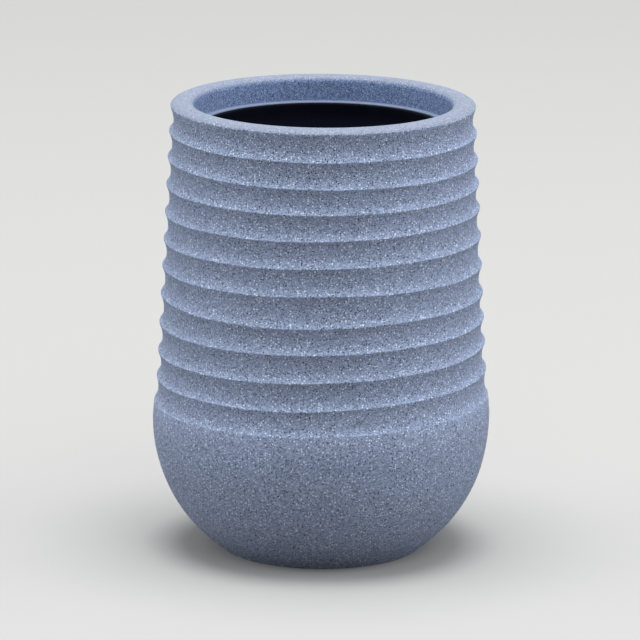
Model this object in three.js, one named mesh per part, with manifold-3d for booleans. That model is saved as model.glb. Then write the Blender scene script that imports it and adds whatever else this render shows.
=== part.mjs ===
// Tall round planter: a ribbed stone-effect shell, a lift-out planting liner with two bail handles,
// a drainage grid in the liner and a drain plug in the base.
// Millimetres, +Z up, origin at the centre of the base, -Y to the front.
import * as THREE from "three";
import { mergeVertices } from "three/addons/utils/BufferGeometryUtils.js";
import Module from "manifold-3d";

const wasm = await Module();
wasm.setup();

// Shell
const overallHeight = 500;
const shellWall = 5;
const rimRadius = 167; // outer edge of the rim, which is the first ridge
const rimWidth = 25.5; // from that edge in to the collar
const rimEdgeDrop = 4.5; // the edge lies this far below the top of the rim
const rimCrown = 14; // width of the roll from the crown to the edge
const rimInnerRound = 7.5; // of the fall from the crown to the collar
const collarDepth = 27.5; // from the top of the rim down to the ledge
const ledgeWidth = 5.3;
const ledgeThickness = 4.5;
const coveCount = 11; // hollow bands between the ridges
const coveDepth = 4;
const coveFullness = 3; // power of the hollow's curve, so that its ends are steep
const bellyRadius = 186.2; // widest part of the bowl
const bellyHeight = 149;
const bellyRise = 18.3; // from the belly up to the last ridge
const bellySwell = 1.5; // the belly stands this far out from the last ridge
const shoulderStep = 1.3; // and the last ridge from the line of the other ridges
const bowlCornerHeight = 42; // where the bowl's side would meet its lower slope
const footRadius = 108.5;
const footRingWidth = 18;
const recessSlope = 4;
const floorThickness = 5;
const drainRadius = 11;

// The ridges wander like thrown rings: they lean to and fro on the way down and crowd up once
const leanGain = 5.25; // rise on the right at the last ridge
const leanSwing = 1.67;
const leanTurn = 14.1; // radians from the rim edge to the last ridge
const leanStart = 2.27;
const leanFront = 1.14;
const leanFrontTurn = 8.6;
const leanFrontStart = 1.34;
const crowdRise = 3.75;
const crowdPlace = 0.36; // share of the ribbed height, from the rim edge down
const crowdSpread = 0.177;
const swayFade = 0.25; // share of the ribbed height over which the wander dies out in the bowl

// Planting liner
const linerWall = 2.5;
const linerRimGap = 1.3; // around the liner's rim, inside the ledge
const linerRimDrop = 1; // the liner's rim lies this far below the ledge
const linerBead = 4; // the rim's bead stands this far out from the wall
const linerBeadHeight = 8;
const linerBeadRound = 1.2;
const linerFootRadius = 86.8;
const linerFootWidth = 10;
const linerFootHeight = 5;
const linerFloor = 3;
const linerDrainRadius = 5;
const linerDrainRing = 2; // the drains lie under this ring of the grid, midway between its holes
const linerDrainCount = 6;

// Bail handles of the liner
const wireRadius = 2.5;
const bailWidth = 96; // between the centres of its legs
const bailDrop = 60; // from its pivot to its bar
const bailWallGap = 1.5; // from the liner's wall as it hangs
const pivotDepth = 16; // below the liner's rim
const pinEnd = 1.5; // the pin stands this far out of its lug
const lugThickness = 6;
const lugSideGap = 0.6;
const lugReach = 6; // around the pivot, to the front
const lugHeight = 15;
const gripRadius = 7;
const gripLength = 64;
const gripRound = 2;

// Drainage grid
const gridLift = 28; // from the liner's floor to the underside of the grid
const gridThickness = 3;
const gridWallGap = 1.5;
const gridHoleRadius = 5;
const gridHolePitch = 22;
const gridEdge = 10;
const gridLegRadius = 4.5;
const gridLegCount = 3;
const knobPostRadius = 5;
const knobPostHeight = 12;
const knobCapRadius = 11;
const knobCapHeight = 5;

// Drain plug and its washer
const plugFlange = 6; // the plug's head stands this far out around the drain
const plugHeadHeight = 4;
const plugHeadFloor = 1.6;
const plugHeadWall = 4;
const plugGroundGap = 1.8; // under the plug's head
const plugStemDrop = 0.5; // from the shell's floor down to the end of the stem
const plugStemChamfer = 1.5;
const plugPullWidth = 4;
const washerThickness = 1.6;
const washerInset = 1; // from the edge of the plug's head

const seatGap = 0.3; // between pieces that touch
const roundSteps = 40;
const smallSteps = 24;
const holeSteps = 12;
const gridHoleSteps = 8;
const wireSteps = 10;
const bowlSteps = 10;
const rimRollSteps = 4;
const rimInnerSteps = 5;
const holesPerRing = 6; // times the ring's number, counted from the middle
const coveStops = [0.06, 0.35, 0.65, 0.94]; // shares of a cove's height that its outline takes
const fullTurn = 2 * Math.PI;

// Heights and radii that follow from them
const rimEdgeHeight = overallHeight - rimEdgeDrop;
const collarRadius = rimRadius - rimWidth;
const ledgeHeight = overallHeight - collarDepth;
const ledgeRadius = collarRadius - ledgeWidth;
const lastRidgeRadius = bellyRadius - bellySwell;
const lastRidgeHeight = bellyHeight + bellyRise;
const ribbedHeight = rimEdgeHeight - lastRidgeHeight;
const footRecess = plugGroundGap + plugHeadHeight + washerThickness + 2 * seatGap; // takes the plug's head
const floorTop = footRecess + floorThickness;

const point = (radius, height) => new THREE.Vector2(radius, height);

// A closed geometry with only its positions, with the shared corners merged
function weld(geometry) {
  geometry.deleteAttribute("normal");
  geometry.deleteAttribute("uv");
  const merged = mergeVertices(geometry, 1e-4);
  const corners = merged.index.array;
  const kept = [];
  for (let i = 0; i < corners.length; i += 3) {
    const [a, b, c] = corners.slice(i, i + 3);
    if (a !== b && b !== c && c !== a) kept.push(a, b, c);
  }
  merged.setIndex(kept);
  return merged;
}

// A profile of radius and height, going up on the outside, turned about Z
function turned(profile, steps) {
  return new THREE.LatheGeometry(profile, steps).rotateX(Math.PI / 2);
}

function solidOf(geometry) {
  const merged = weld(geometry);
  const vertProperties = new Float32Array(merged.attributes.position.array);
  const triVerts = new Uint32Array(merged.index.array);
  return new wasm.Manifold(new wasm.Mesh({ numProp: 3, vertProperties, triVerts }));
}

function geometryOf(solid) {
  const mesh = solid.getMesh();
  const geometry = new THREE.BufferGeometry();
  geometry.setAttribute("position", new THREE.BufferAttribute(mesh.vertProperties, 3));
  geometry.setIndex(new THREE.BufferAttribute(mesh.triVerts, 1));
  geometry.computeVertexNormals();
  return geometry;
}

// An upright post that stands at x, y between two heights
function post(radius, low, high, x, y, steps) {
  const geometry = new THREE.CylinderGeometry(radius, radius, high - low, steps);
  return solidOf(geometry.rotateX(Math.PI / 2).translate(x, y, (low + high) / 2));
}

// A rod along Y between two places, at x and z
function rodAlongY(radius, from, to, x, z, steps) {
  const geometry = new THREE.CylinderGeometry(radius, radius, to - from, steps);
  return solidOf(geometry.translate(x, (from + to) / 2, z));
}

function block(sizeX, sizeY, sizeZ, x, y, z) {
  return solidOf(new THREE.BoxGeometry(sizeX, sizeY, sizeZ).translate(x, y, z));
}

function piece(name, geometry, color, roughness, metalness) {
  const material = new THREE.MeshStandardMaterial({ color, roughness, metalness });
  const mesh = new THREE.Mesh(geometry, material);
  mesh.name = name;
  return mesh;
}

// Bowl of the shell, from the foot up to the belly
const bowl = new THREE.CubicBezierCurve(
  point(footRadius, 0),
  point(footRadius, 0),
  point(bellyRadius, bowlCornerHeight),
  point(bellyRadius, bellyHeight),
);

// The bowl's inside, one wall in from its outside, from the belly down to the floor
function bowlInside() {
  const inside = [];
  for (let step = bowlSteps; step >= 0; step -= 1) {
    const outer = bowl.getPoint(step / bowlSteps);
    const along = bowl.getTangent(step / bowlSteps);
    const inner = point(outer.x - along.y * shellWall, outer.y + along.x * shellWall);
    const last = inside.at(-1);
    if (last && inner.y < floorTop) {
      const share = (last.y - floorTop) / (last.y - inner.y);
      inside.push(point(last.x + (inner.x - last.x) * share, floorTop));
      return inside;
    }
    inside.push(inner);
  }
  return inside;
}

// The ridges lie on a straight line from the rim's edge down, and only the last one steps out from it
function ridgeLine(down) {
  const lastCove = Math.max(0, 1 - (1 - down) * coveCount);
  return THREE.MathUtils.lerp(rimRadius, lastRidgeRadius - shoulderStep, down) + shoulderStep * lastCove;
}

// Hollow coves between the ridges, from the last ridge up to the rim's edge
function coves() {
  const outline = [];
  for (let cove = coveCount - 1; cove >= 0; cove -= 1) {
    for (const stop of coveStops) {
      const down = (cove + 1 - stop) / coveCount;
      const hollow = coveDepth * (1 - Math.abs(2 * stop - 1) ** coveFullness);
      outline.push(point(ridgeLine(down) - hollow, rimEdgeHeight - ribbedHeight * down));
    }
  }
  return outline;
}

// Rise of a point of the ribbed wall, by its height and its direction from the axis
function sway(height, toRight, toFront) {
  const down = (rimEdgeHeight - height) / ribbedHeight;
  const fadeIn = THREE.MathUtils.smoothstep(down, 0, 1 / coveCount);
  const fadeOut = 1 - THREE.MathUtils.smoothstep(down, 1, 1 + swayFade);
  const leanRight = leanSwing * Math.cos(leanTurn * down - leanStart) - leanGain * down;
  const leanForward = leanFront * Math.cos(leanFrontTurn * down - leanFrontStart);
  const crowd = crowdRise * Math.exp(-(((down - crowdPlace) / crowdSpread) ** 2));
  return fadeIn * fadeOut * (crowd - leanRight * toRight - leanForward * toFront);
}

function outerShell() {
  const underside = [
    point(drainRadius, footRecess),
    point(footRadius - footRingWidth - recessSlope, footRecess),
    point(footRadius - footRingWidth, 0),
  ];
  const rimRoll = new THREE.QuadraticBezierCurve(
    point(rimRadius, rimEdgeHeight),
    point(rimRadius - rimEdgeDrop / 2, overallHeight),
    point(rimRadius - rimCrown, overallHeight),
  );
  const rimInner = new THREE.CubicBezierCurve(
    point(rimRadius - rimCrown, overallHeight),
    point(collarRadius + rimInnerRound, overallHeight),
    point(collarRadius, overallHeight),
    point(collarRadius, overallHeight - rimInnerRound),
  );
  const outside = [
    ...bowl.getPoints(bowlSteps),
    point(lastRidgeRadius, lastRidgeHeight),
    ...coves(),
    ...rimRoll.getPoints(rimRollSteps).slice(0, -1), // the crown itself starts the inner fall
  ];
  const ledgeUnder = ledgeHeight - ledgeThickness;
  const inside = [
    ...rimInner.getPoints(rimInnerSteps),
    point(collarRadius, ledgeHeight),
    point(ledgeRadius, ledgeHeight),
    point(ledgeRadius, ledgeUnder),
    point(collarRadius + shellWall, ledgeUnder),
    point(collarRadius + shellWall, overallHeight - shellWall),
    point(rimRadius - coveDepth - shellWall, overallHeight - shellWall),
    point(lastRidgeRadius - coveDepth - shellWall, lastRidgeHeight),
    ...bowlInside(),
    point(drainRadius, floorTop),
    point(drainRadius, footRecess),
  ];
  const profile = [...underside, ...outside, ...inside];
  const geometry = turned(profile, roundSteps);
  const place = geometry.attributes.position;
  for (let i = 0; i < place.count; i += 1) {
    const order = i % profile.length;
    if (order < underside.length || order >= underside.length + outside.length) continue;
    const radius = Math.hypot(place.getX(i), place.getY(i));
    const rise = sway(place.getZ(i), place.getX(i) / radius, -place.getY(i) / radius);
    place.setZ(i, place.getZ(i) + rise);
  }
  return geometryOf(solidOf(geometry));
}

// The liner stands on the shell's floor, and its rim is centred inside the ledge
const linerSeat = floorTop + seatGap;
const linerTop = ledgeHeight - linerRimDrop;
const linerFloorTop = linerSeat + linerFootHeight + linerFloor;
const linerRimRadius = ledgeRadius - linerRimGap;
const linerNeckRadius = linerRimRadius - linerBead;
const linerTaper = (linerNeckRadius - linerFootRadius) / (linerTop - linerSeat);
const linerOutsideAt = (height) => linerFootRadius + linerTaper * (height - linerSeat);
const linerInsideAt = (height) => linerOutsideAt(height) - linerWall;

// A bail hangs clear of the tapered wall, at its legs and at its grip
const pivotHeight = linerTop - pivotDepth;
const barHeight = pivotHeight - bailDrop;
const legReach = bailWidth / 2 + wireRadius;
const wallBesideLegs = Math.sqrt(linerInsideAt(barHeight - wireRadius) ** 2 - legReach ** 2);
const wallBesideGrip = Math.sqrt(linerInsideAt(barHeight - gripRadius) ** 2 - (gripLength / 2) ** 2);
const pivotOut = Math.min(wallBesideLegs - wireRadius, wallBesideGrip - gripRadius) - bailWallGap;
const lugInner = legReach + lugSideGap;

function innerLiner() {
  const beadLow = linerTop - linerBeadHeight;
  const footInner = linerFootRadius - linerFootWidth;
  const outline = [
    point(linerFootRadius, linerSeat),
    point(linerOutsideAt(beadLow), beadLow),
    point(linerRimRadius, beadLow),
    point(linerRimRadius, linerTop - linerBeadRound),
    point(linerRimRadius - linerBeadRound, linerTop),
  ];
  const profile = [
    point(0, linerSeat + linerFootHeight),
    point(footInner, linerSeat + linerFootHeight),
    point(footInner, linerSeat),
    ...outline,
    point(linerInsideAt(linerTop), linerTop),
    point(linerInsideAt(linerFloorTop), linerFloorTop),
    point(0, linerFloorTop),
  ];
  let liner = solidOf(turned(profile, roundSteps));
  const filled = solidOf(turned([point(0, linerSeat), ...outline, point(0, linerTop)], roundSteps));
  const lugDepth = linerInsideAt(pivotHeight) + linerWall - pivotOut + lugReach;
  for (const side of [-1, 1]) {
    for (const end of [-1, 1]) {
      const lugX = side * (pivotOut - lugReach + lugDepth / 2);
      const lugY = end * (lugInner + lugThickness / 2);
      const lug = block(lugDepth, lugThickness, lugHeight, lugX, lugY, pivotHeight);
      liner = liner.add(lug.intersect(filled));
    }
    const boreEnd = lugInner + lugThickness + pinEnd;
    const bore = wireRadius + seatGap;
    liner = liner.subtract(rodAlongY(bore, -boreEnd, boreEnd, side * pivotOut, pivotHeight, smallSteps));
  }
  const drainCircle = linerDrainRing * gridHolePitch;
  const drainTurn = fullTurn / (2 * holesPerRing * linerDrainRing);
  for (let hole = 0; hole < linerDrainCount; hole += 1) {
    const angle = drainTurn + (hole / linerDrainCount) * fullTurn;
    const x = drainCircle * Math.cos(angle);
    const y = drainCircle * Math.sin(angle);
    liner = liner.subtract(post(linerDrainRadius, linerSeat, linerFloorTop + linerFloor, x, y, holeSteps));
  }
  return geometryOf(liner);
}

// A wire bail as it hangs: two pins in the lugs, two legs and a bar
function bail(side) {
  const x = side * pivotOut;
  const pinOut = lugInner + lugThickness + pinEnd;
  const leg = bailWidth / 2;
  let wire = rodAlongY(wireRadius, -leg, leg, x, barHeight, wireSteps);
  for (const end of [-1, 1]) {
    const from = Math.min(end * leg, end * pinOut);
    const to = Math.max(end * leg, end * pinOut);
    wire = wire.add(rodAlongY(wireRadius, from, to, x, pivotHeight, wireSteps));
    wire = wire.add(post(wireRadius, barHeight, pivotHeight, x, end * leg, wireSteps));
    for (const height of [barHeight, pivotHeight]) {
      const bend = new THREE.SphereGeometry(wireRadius, wireSteps, wireSteps / 2);
      wire = wire.add(solidOf(bend.translate(x, end * leg, height)));
    }
  }
  return geometryOf(wire);
}

function grip(side) {
  const bore = wireRadius + seatGap;
  const half = gripLength / 2;
  const profile = [
    point(bore, -half),
    point(gripRadius - gripRound, -half),
    point(gripRadius, -half + gripRound),
    point(gripRadius, half - gripRound),
    point(gripRadius - gripRound, half),
    point(bore, half),
    point(bore, -half),
  ];
  const sleeve = turned(profile, holeSteps).rotateX(Math.PI / 2);
  return weld(sleeve.translate(side * pivotOut, 0, barHeight));
}

// The grid stands on legs on the liner's floor, just inside its wall
function drainageGrid() {
  const under = linerFloorTop + gridLift;
  const top = under + gridThickness;
  const radius = linerInsideAt(under) - gridWallGap;
  let grid = post(radius, under, top, 0, 0, roundSteps);
  const rings = Math.floor((radius - gridEdge) / gridHolePitch);
  for (let ring = 1; ring <= rings; ring += 1) {
    const holes = holesPerRing * ring;
    for (let hole = 0; hole < holes; hole += 1) {
      const angle = (hole / holes) * fullTurn;
      const x = ring * gridHolePitch * Math.cos(angle);
      const y = ring * gridHolePitch * Math.sin(angle);
      const low = under - gridThickness;
      grid = grid.subtract(post(gridHoleRadius, low, top + gridThickness, x, y, gridHoleSteps));
    }
  }
  const legCircle = 1.5 * gridHolePitch; // between the first two rings of holes
  for (let leg = 0; leg < gridLegCount; leg += 1) {
    const angle = (leg / gridLegCount) * fullTurn;
    const x = legCircle * Math.cos(angle);
    const y = legCircle * Math.sin(angle);
    const foot = linerFloorTop + seatGap;
    grid = grid.add(post(gridLegRadius, foot, under + gridThickness / 2, x, y, holeSteps));
  }
  const knobTop = top + knobPostHeight;
  grid = grid.add(post(knobPostRadius, under, knobTop, 0, 0, holeSteps));
  grid = grid.add(post(knobCapRadius, knobTop, knobTop + knobCapHeight, 0, 0, smallSteps));
  return geometryOf(grid);
}

// The plug goes in from below, with its head in the recess of the base and a washer on the head
const washerTop = footRecess - seatGap;
const washerUnder = washerTop - washerThickness;
const plugStemRadius = drainRadius - seatGap;
const plugHeadRadius = drainRadius + plugFlange;

function drainPlug() {
  const headTop = washerUnder - seatGap;
  const headUnder = headTop - plugHeadHeight;
  const cupTop = headTop - plugHeadFloor;
  const cupRadius = plugHeadRadius - plugHeadWall;
  const stemTop = floorTop - plugStemDrop;
  const profile = [
    point(0, cupTop),
    point(cupRadius, cupTop),
    point(cupRadius, headUnder),
    point(plugHeadRadius, headUnder),
    point(plugHeadRadius, headTop),
    point(plugStemRadius, headTop),
    point(plugStemRadius, stemTop - plugStemChamfer),
    point(plugStemRadius - plugStemChamfer, stemTop),
    point(0, stemTop),
  ];
  const body = solidOf(turned(profile, smallSteps));
  const pullLength = cupRadius + plugHeadRadius;
  const pullHeight = cupTop + plugHeadFloor / 2 - headUnder;
  const pull = block(pullLength, plugPullWidth, pullHeight, 0, 0, headUnder + pullHeight / 2);
  return geometryOf(body.add(pull));
}

function plugWasher() {
  const bore = plugStemRadius + seatGap;
  const edge = plugHeadRadius - washerInset;
  const profile = [
    point(bore, washerUnder),
    point(edge, washerUnder),
    point(edge, washerTop),
    point(bore, washerTop),
    point(bore, washerUnder),
  ];
  return weld(turned(profile, smallSteps));
}

const planter = new THREE.Group();
planter.add(piece("outer_shell", outerShell(), 0x73809a, 0.85, 0));
planter.add(piece("inner_liner", innerLiner(), 0x121317, 0.6, 0));
for (const [name, side] of [["left", -1], ["right", 1]]) {
  planter.add(piece(`${name}_bail`, bail(side), 0xa8acae, 0.35, 1));
  planter.add(piece(`${name}_grip`, grip(side), 0x1c1d20, 0.55, 0));
}
planter.add(piece("drainage_grid", drainageGrid(), 0x202226, 0.6, 0));
planter.add(piece("drain_plug", drainPlug(), 0x17181a, 0.7, 0));
planter.add(piece("plug_washer", plugWasher(), 0x2a2b2c, 0.8, 0));

export default planter;
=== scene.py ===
# Tall round planter: ribbed stone-effect shell, planting liner with bails, drainage grid and drain plug
import math

import bpy
from mathutils import Matrix, Vector, noise


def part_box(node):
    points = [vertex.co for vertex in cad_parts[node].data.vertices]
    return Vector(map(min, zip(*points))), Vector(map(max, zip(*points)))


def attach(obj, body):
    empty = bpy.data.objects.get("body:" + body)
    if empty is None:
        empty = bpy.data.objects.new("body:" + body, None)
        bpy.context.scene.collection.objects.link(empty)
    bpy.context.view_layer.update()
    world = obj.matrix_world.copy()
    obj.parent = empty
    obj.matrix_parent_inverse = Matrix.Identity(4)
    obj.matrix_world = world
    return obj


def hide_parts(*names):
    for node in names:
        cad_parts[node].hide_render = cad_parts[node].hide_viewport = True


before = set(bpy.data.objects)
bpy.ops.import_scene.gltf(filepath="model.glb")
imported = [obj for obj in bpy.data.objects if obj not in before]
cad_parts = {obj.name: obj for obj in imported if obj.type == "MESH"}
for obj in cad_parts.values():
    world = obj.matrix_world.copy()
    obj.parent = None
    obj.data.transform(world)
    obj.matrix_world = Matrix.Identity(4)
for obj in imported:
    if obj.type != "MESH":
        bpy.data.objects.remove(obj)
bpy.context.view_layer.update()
mm = 0.001
fullTurn = 2 * math.pi
bench = {  # what the hand tools take as too small
    "mergeGap": 0.002 * mm,
    "sliver": 0.005 * mm,
    "cutterSpare": 1 * mm,  # cutters stand out of what they cut by this much
}
noiseSpan = (0.3, 0.7)  # cloudy noise seldom leaves this
print("frame loaded,", len(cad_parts), "nodes")


# Hand tools

def onlyPick(piece):  # this piece alone is selected and active
    bpy.ops.object.select_all(action="DESELECT")
    piece.select_set(True)
    bpy.context.view_layer.objects.active = piece


def newPiece(name):  # names the primitive that was just added, and puts its place in its mesh
    piece = bpy.context.object
    piece.name = name
    piece.data.name = name
    bpy.ops.object.transform_apply(location=True, rotation=True, scale=True)
    return piece


def copyAside(piece, name, aside):  # a copy with a mesh of its own, moved along x
    onlyPick(piece)
    bpy.ops.object.duplicate()
    bpy.context.object.location.x = aside
    return newPiece(name)


def applyModifier(piece, kind, **settings):
    onlyPick(piece)
    modifier = piece.modifiers.new(kind.lower(), kind)
    for key, value in settings.items():
        setattr(modifier, key, value)
    bpy.ops.object.modifier_apply(modifier=modifier.name)


def joinInto(piece, others, operation):  # adds or cuts other closed shapes, which are then gone
    onlyPick(others[0])
    for other in others:
        other.select_set(True)
    bpy.ops.object.join()
    applyModifier(piece, "BOOLEAN", object=others[0], operation=operation, solver="EXACT")
    bpy.data.objects.remove(others[0], do_unlink=True)


def softEdges(piece, width, segments=2, angle=50):
    applyModifier(piece, "BEVEL", width=width, segments=segments, limit_method="ANGLE",
                  angle_limit=math.radians(angle), use_clamp_overlap=True)


def smoothPiece(piece, angle=35):
    onlyPick(piece)
    bpy.ops.object.shade_smooth_by_angle(angle=math.radians(angle))


def bezier(corners, steps):  # points of a curve that is pulled towards its inner corners
    outline = []
    for step in range(steps + 1):
        line = [Vector(corner) for corner in corners]
        while len(line) > 1:
            line = [a.lerp(b, step / steps) for a, b in zip(line, line[1:])]
        outline.append(line[0])
    return outline


def softened(corners, steps=4):  # corners are (radius, height, rounding), and are rounded by short curves
    outline = []
    for index, (radius, height, rounding) in enumerate(corners):
        here = Vector((radius, height))
        if not rounding:
            outline.append(here)
            continue
        before = Vector(corners[index - 1][:2])
        after = Vector(corners[(index + 1) % len(corners)][:2])
        start = here + (before - here).normalized() * rounding
        end = here + (after - here).normalized() * rounding
        outline += bezier([start, here, end], steps)
    return outline


def closeMesh():  # in edit mode: merges what meets, drops loose bits and turns the faces outwards
    bpy.ops.mesh.select_all(action="SELECT")
    bpy.ops.mesh.remove_doubles(threshold=bench["mergeGap"])
    bpy.ops.mesh.delete_loose(use_verts=True, use_edges=True, use_faces=False)
    bpy.ops.mesh.select_all(action="SELECT")
    bpy.ops.mesh.normals_make_consistent(inside=False)


def turnedPiece(name, outline, steps, centre=(0, 0, 0), axis=(0, 0, 1), zones=None):
    bpy.ops.object.select_all(action="DESELECT")
    bpy.ops.mesh.primitive_circle_add(vertices=len(outline), radius=mm)
    piece = newPiece(name)
    zone = piece.data.attributes.new("zone", "INT", "POINT")
    for index, (radius, along) in enumerate(outline):
        piece.data.vertices[index].co = Vector(centre) + Vector((radius, 0, 0)) + Vector(axis) * along
        zone.data[index].value = zones[index] if zones else 0
    bpy.ops.object.mode_set(mode="EDIT")
    bpy.ops.mesh.select_all(action="SELECT")
    bpy.ops.mesh.spin(steps=steps, angle=fullTurn, center=centre, axis=axis)
    closeMesh()
    bpy.ops.object.mode_set(mode="OBJECT")
    zone = piece.data.attributes["zone"].data
    for face in piece.data.polygons:  # the zone's number is the number of its material
        face.material_index = max(zone[corner].value for corner in face.vertices)
    piece.data.attributes.remove(piece.data.attributes["zone"])
    return piece


def finishCuts(piece, angle):  # after cuts: slivers go, and flat faces are shaded flat
    onlyPick(piece)
    bpy.ops.object.mode_set(mode="EDIT")
    bpy.ops.mesh.select_all(action="SELECT")
    bpy.ops.mesh.dissolve_degenerate(threshold=bench["sliver"])
    closeMesh()
    bpy.ops.object.mode_set(mode="OBJECT")
    smoothPiece(piece, angle)
    applyModifier(piece, "WEIGHTED_NORMAL", keep_sharp=True, weight=100)


def rod(name, radius, start, end, sides=24):  # a plain cutter or post between two points
    start, end = Vector(start), Vector(end)
    turn = (end - start).to_track_quat("Z", "Y").to_euler()
    bpy.ops.object.select_all(action="DESELECT")
    bpy.ops.mesh.primitive_cylinder_add(vertices=sides, radius=radius, depth=(end - start).length,
                                        location=(start + end) / 2, rotation=turn)
    return newPiece(name)


def dress(piece, body, node, slot, *paints):
    for paint in paints:
        piece.data.materials.append(paint.owner)
    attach(piece, body)
    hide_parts(node)


# Paint: shader maths as plain expressions

class Wire:  # a socket that takes part in sums
    def __init__(self, paint, socket):
        self.paint = paint
        self.socket = socket

    def maths(self, operation, first, second):
        return self.paint.node("ShaderNodeMath", {"operation": operation}, {0: first, 1: second})

    def __add__(self, other):
        return self.maths("ADD", self, other)

    def __sub__(self, other):
        return self.maths("SUBTRACT", self, other)

    def __rsub__(self, other):
        return self.maths("SUBTRACT", other, self)

    def __mul__(self, other):
        return self.maths("MULTIPLY", self, other)

    def __lt__(self, other):
        return self.maths("LESS_THAN", self, other)

    def __gt__(self, other):
        return self.maths("GREATER_THAN", self, other)

    __radd__ = __add__
    __rmul__ = __mul__


class Paint:
    def __init__(self, owner):  # a material or the world
        self.owner = owner
        owner.use_nodes = True
        self.tree = owner.node_tree
        self.tree.nodes.clear()

    def node(self, kind, settings=None, sockets=None, output=0):
        made = self.tree.nodes.new(kind)
        for key, value in (settings or {}).items():
            setattr(made, key, value)
        for key, value in (sockets or {}).items():
            if isinstance(value, Wire):
                self.tree.links.new(value.socket, made.inputs[key])
            else:
                made.inputs[key].default_value = value
        return Wire(self, made.outputs[output]) if made.outputs else None

    def place(self):
        return self.node("ShaderNodeTexCoord", output="Object")

    def stretched(self, size):  # Object coordinates, drawn out by a size for each axis
        return self.node("ShaderNodeMapping", {}, {"Vector": self.place(), "Scale": size})

    def fromAxis(self):  # distance from the planter's axis
        flat = self.stretched((1, 1, 0))
        return self.node("ShaderNodeVectorMath", {"operation": "LENGTH"}, {0: flat}, "Value")

    def fromFloor(self):  # height
        return self.node("ShaderNodeSeparateXYZ", {}, {0: self.place()}, "Z")

    def grain(self, size, detail=2.0, where=None):  # cloudy noise with grains of this size
        sockets = {"Vector": where or self.place(), "Scale": 1 / size, "Detail": detail}
        return self.node("ShaderNodeTexNoise", {}, sockets)

    def ramp(self, value, low, high, least=0.0, most=1.0):
        sockets = {"Value": value, "From Min": low, "From Max": high, "To Min": least, "To Max": most}
        return self.node("ShaderNodeMapRange", {"interpolation_type": "SMOOTHSTEP"}, sockets)

    def mix(self, share, first, second, blend="MIX"):
        settings = {"data_type": "RGBA", "blend_type": blend}
        return self.node("ShaderNodeMix", settings, {0: share, 6: first, 7: second}, 2)

    def finish(self, colour, roughness, relief, depth, **fixed):
        sockets = {"Base Color": colour, "Roughness": roughness}
        sockets.update(fixed)
        sockets["Normal"] = self.node("ShaderNodeBump", {}, {"Height": relief, "Distance": depth})
        surface = self.node("ShaderNodeBsdfPrincipled", {}, sockets)
        self.node("ShaderNodeOutputMaterial", {}, {"Surface": surface})


def newPaint(name):
    return Paint(bpy.data.materials.new(name))


def rgb(red, green, blue):
    return (red, green, blue, 1)


# Camera at the photograph's angle

viewer = {
    "lens": 319.6,  # on a 36 mm sensor
    "place": (-0.0019, -6.0988, 1.6969),
    "pitch": 13.313,  # degrees down
    "roll": 0.405,
    "farthest": 200,
}


def photoCamera():
    turn = Matrix.Rotation(math.radians(90 - viewer["pitch"]), 4, "X")
    turn = turn @ Matrix.Rotation(math.radians(viewer["roll"]), 4, "Z")
    bpy.ops.object.camera_add(location=viewer["place"], rotation=turn.to_euler())
    camera = bpy.context.object
    camera.name = "photoCamera"
    camera.data.lens = viewer["lens"]
    camera.data.clip_end = viewer["farthest"]
    bpy.context.scene.camera = camera


# Outer shell

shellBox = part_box("outer_shell")
shell = {
    "height": shellBox[1].z,
    "bellyRadius": shellBox[1].x,
    "wall": 5 * mm,
    "rimRadius": 167 * mm,  # the rim's edge is the first ridge
    "rimWidth": 25.5 * mm,
    "rimEdgeDrop": 4.5 * mm,
    "rimCrown": 14 * mm,  # width of the roll from the crown to the edge
    "rimInnerRound": 7.5 * mm,  # of the fall from the crown to the collar
    "collarDepth": 27.5 * mm,
    "skinEnd": 1 * mm,  # above the ledge, where the stone effect stops
    "ledgeWidth": 5.3 * mm,
    "ledgeThickness": 4.5 * mm,
    "ledgeRound": 1.2 * mm,
    "ledgeRootRound": 0.6 * mm,
    "ledgeUnderRound": 0.8 * mm,
    "coveCount": 11,
    "coveDepth": 4.2 * mm,
    "lowCove": 0.75,  # the lowest cove is shallower by this factor
    "coveDeepest": 0.42,  # share of a cove's height, from its lower ridge up
    "coveLip": 3.0,  # power of the hollow below there, which ends in a steep lip
    "coveBrow": 2.3,  # and of the hollow above
    "ridgeRound": 0.02,  # share of a cove's height over which its ridge is rounded
    "rimRound": 0.08,  # and the rim's edge, which is blunter
    "bellyHeight": 149 * mm,
    "bellyRise": 18.3 * mm,  # from the belly up to the last ridge
    "bellySwell": 1.5 * mm,
    "shoulderStep": 1.3 * mm,  # the last ridge stands out from the line of the others
    "bowlCornerHeight": 42 * mm,
    "footRadius": 108.5 * mm,
    "footRound": 2.5 * mm,
    "footLean": 3 * mm,  # rise of the bowl, over one ring's width from the foot
    "footRingWidth": 18 * mm,
    "footInnerRound": 1.5 * mm,
    "recess": 8 * mm,
    "recessSlope": 4 * mm,
    "recessRound": 2 * mm,
    "floorThickness": 5 * mm,
    "drainRadius": 11 * mm,
    "drainRound": 0.8 * mm,
    "turnSteps": 176,
    "bowlSteps": 48,
    "rimRollSteps": 14,
    "rimInnerSteps": 16,
    "coveSteps": 24,
    "ridgeCrowding": 0.8,  # how far these steps are drawn towards the ridges
}

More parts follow.
